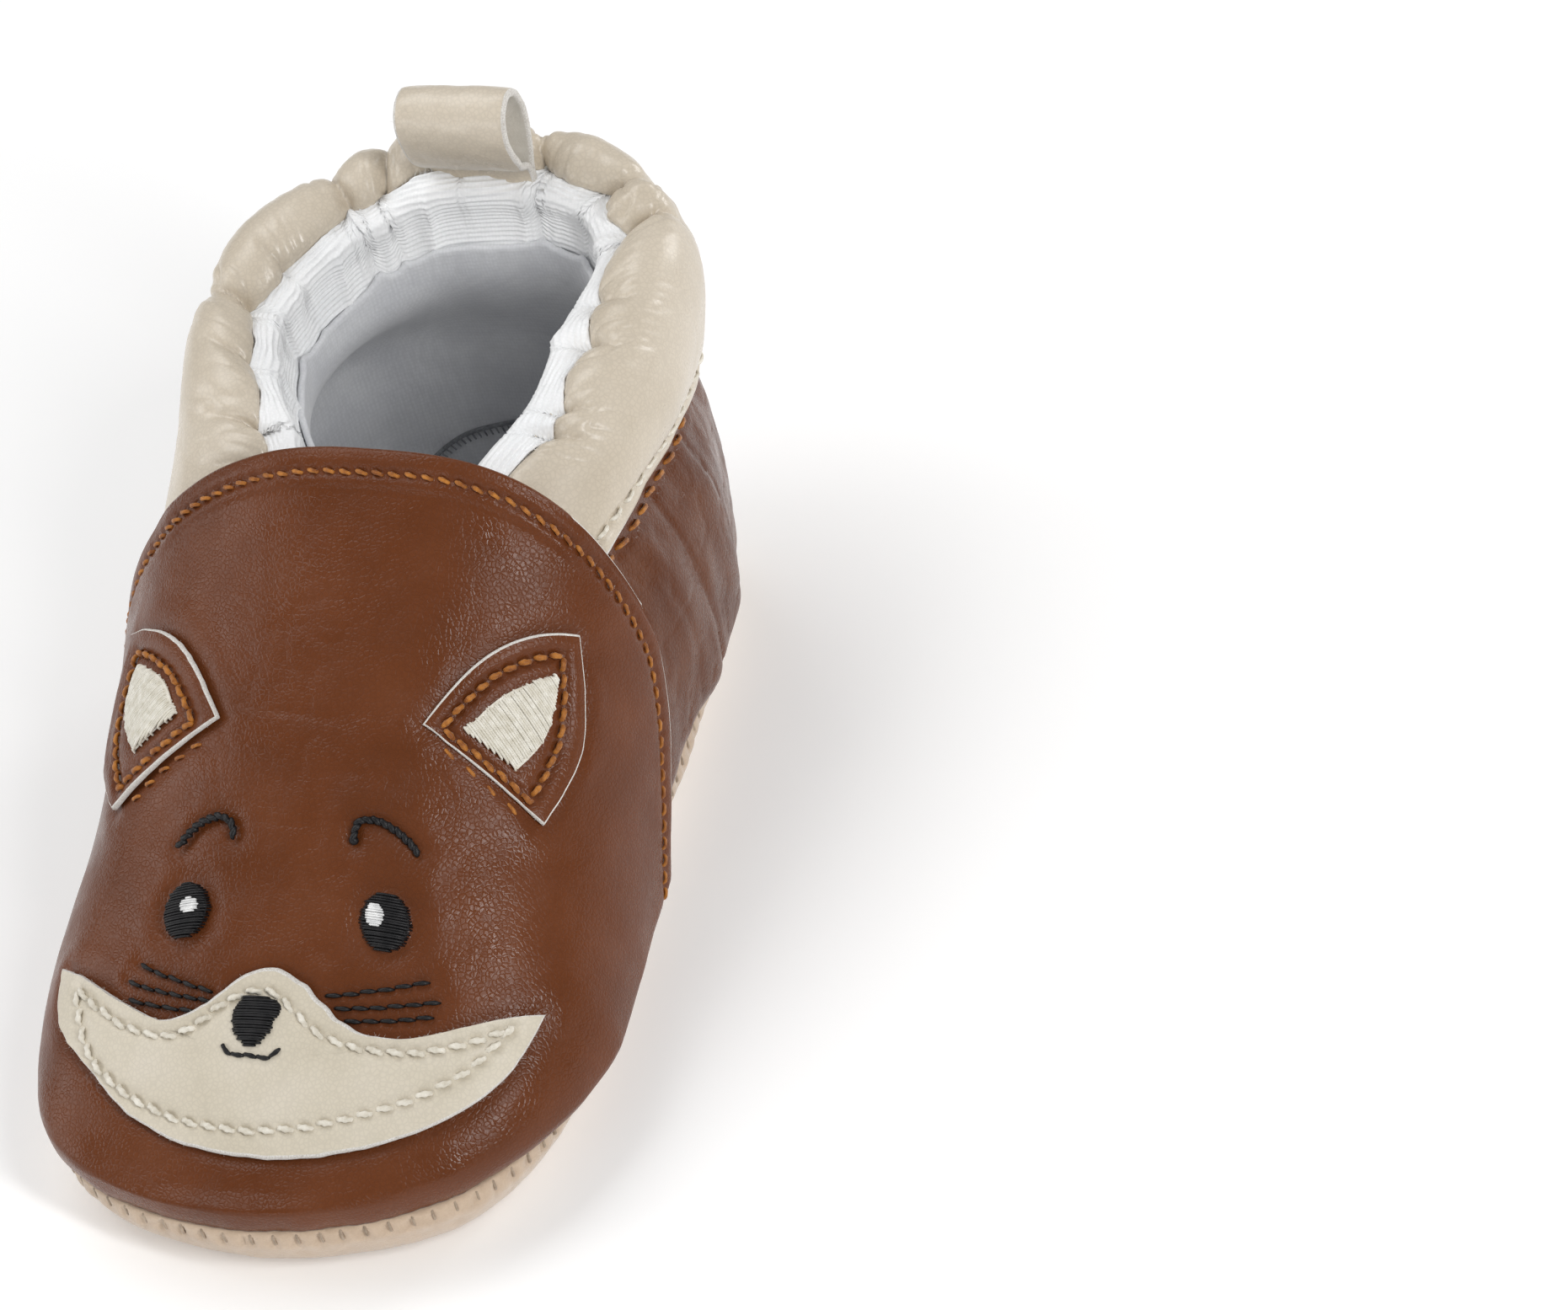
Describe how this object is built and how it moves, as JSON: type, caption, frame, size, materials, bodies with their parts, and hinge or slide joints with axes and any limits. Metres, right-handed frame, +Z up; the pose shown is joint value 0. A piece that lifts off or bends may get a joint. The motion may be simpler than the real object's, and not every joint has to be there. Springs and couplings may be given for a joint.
{
  "type": "baby bootie",
  "caption": "Soft-soled slip-on baby bootie for a left foot: leatherette vamp with a sewn fox face, suede sole, padded elastic collar with rib-knit band, and a pull loop at the heel.",
  "frame": {"origin": "middle of the footprint on the ground, the bottom centre of the bounding box", "axes": "+Z up; the toe points along -Y and the heel along +Y; +X is the outer side of a left foot"},
  "size_m": [0.0696, 0.1268, 0.0724],
  "materials": {
    "brown_leather": "smooth grained leatherette, satin sheen",
    "beige_leather": "smooth leatherette, soft gloss",
    "suede": "napped suede, matt",
    "rib_knit": "fine rib knit, matt",
    "lining_cloth": "brushed jersey, matt",
    "foam": "soft open-cell foam",
    "elastic": "woven elastic tape",
    "orange_thread": "thick twisted thread, satin",
    "cream_thread": "twisted thread, satin",
    "black_thread": "twisted thread, satin",
    "white_thread": "twisted thread, satin"
  },
  "bodies": {
    "bootie": {"vamp": "brown_leather", "heel_panel": "brown_leather", "ear_outer": "brown_leather", "ear_inner": "brown_leather", "collar": "beige_leather", "muzzle": "beige_leather", "outsole": "suede", "rib_band": "rib_knit", "vamp_lining": "lining_cloth", "heel_lining": "lining_cloth", "insole": "lining_cloth", "midsole_foam": "foam", "collar_padding": "foam", "collar_elastic": "elastic", "ear_thread_outer": "orange_thread", "ear_thread_inner": "orange_thread", "vamp_topstitching": "orange_thread", "heel_topstitching": "orange_thread", "ear_embroidery_outer": "cream_thread", "ear_embroidery_inner": "cream_thread", "muzzle_stitching": "cream_thread", "collar_topstitching": "cream_thread", "sole_stitching": "cream_thread", "eye_outer": "black_thread", "eye_inner": "black_thread", "brow_outer": "black_thread", "brow_inner": "black_thread", "nose": "black_thread", "mouth": "black_thread", "whisker_1": "black_thread", "whisker_2": "black_thread", "whisker_3": "black_thread", "whisker_4": "black_thread", "whisker_5": "black_thread", "whisker_6": "black_thread", "eye_light_outer": "white_thread", "eye_light_inner": "white_thread"},
    "loop": {"pull_loop": "beige_leather"}
  },
  "joints": [
    {"name": "pull_loop_hinge", "type": "hinge", "parent": "bootie", "child": "loop", "pos_m": [0.00265, 0.05619, 0.0606], "axis": [1, 0, 0], "range_deg": [-22, 55], "stiffness_Nm_per_rad": 0.001}
  ]
}
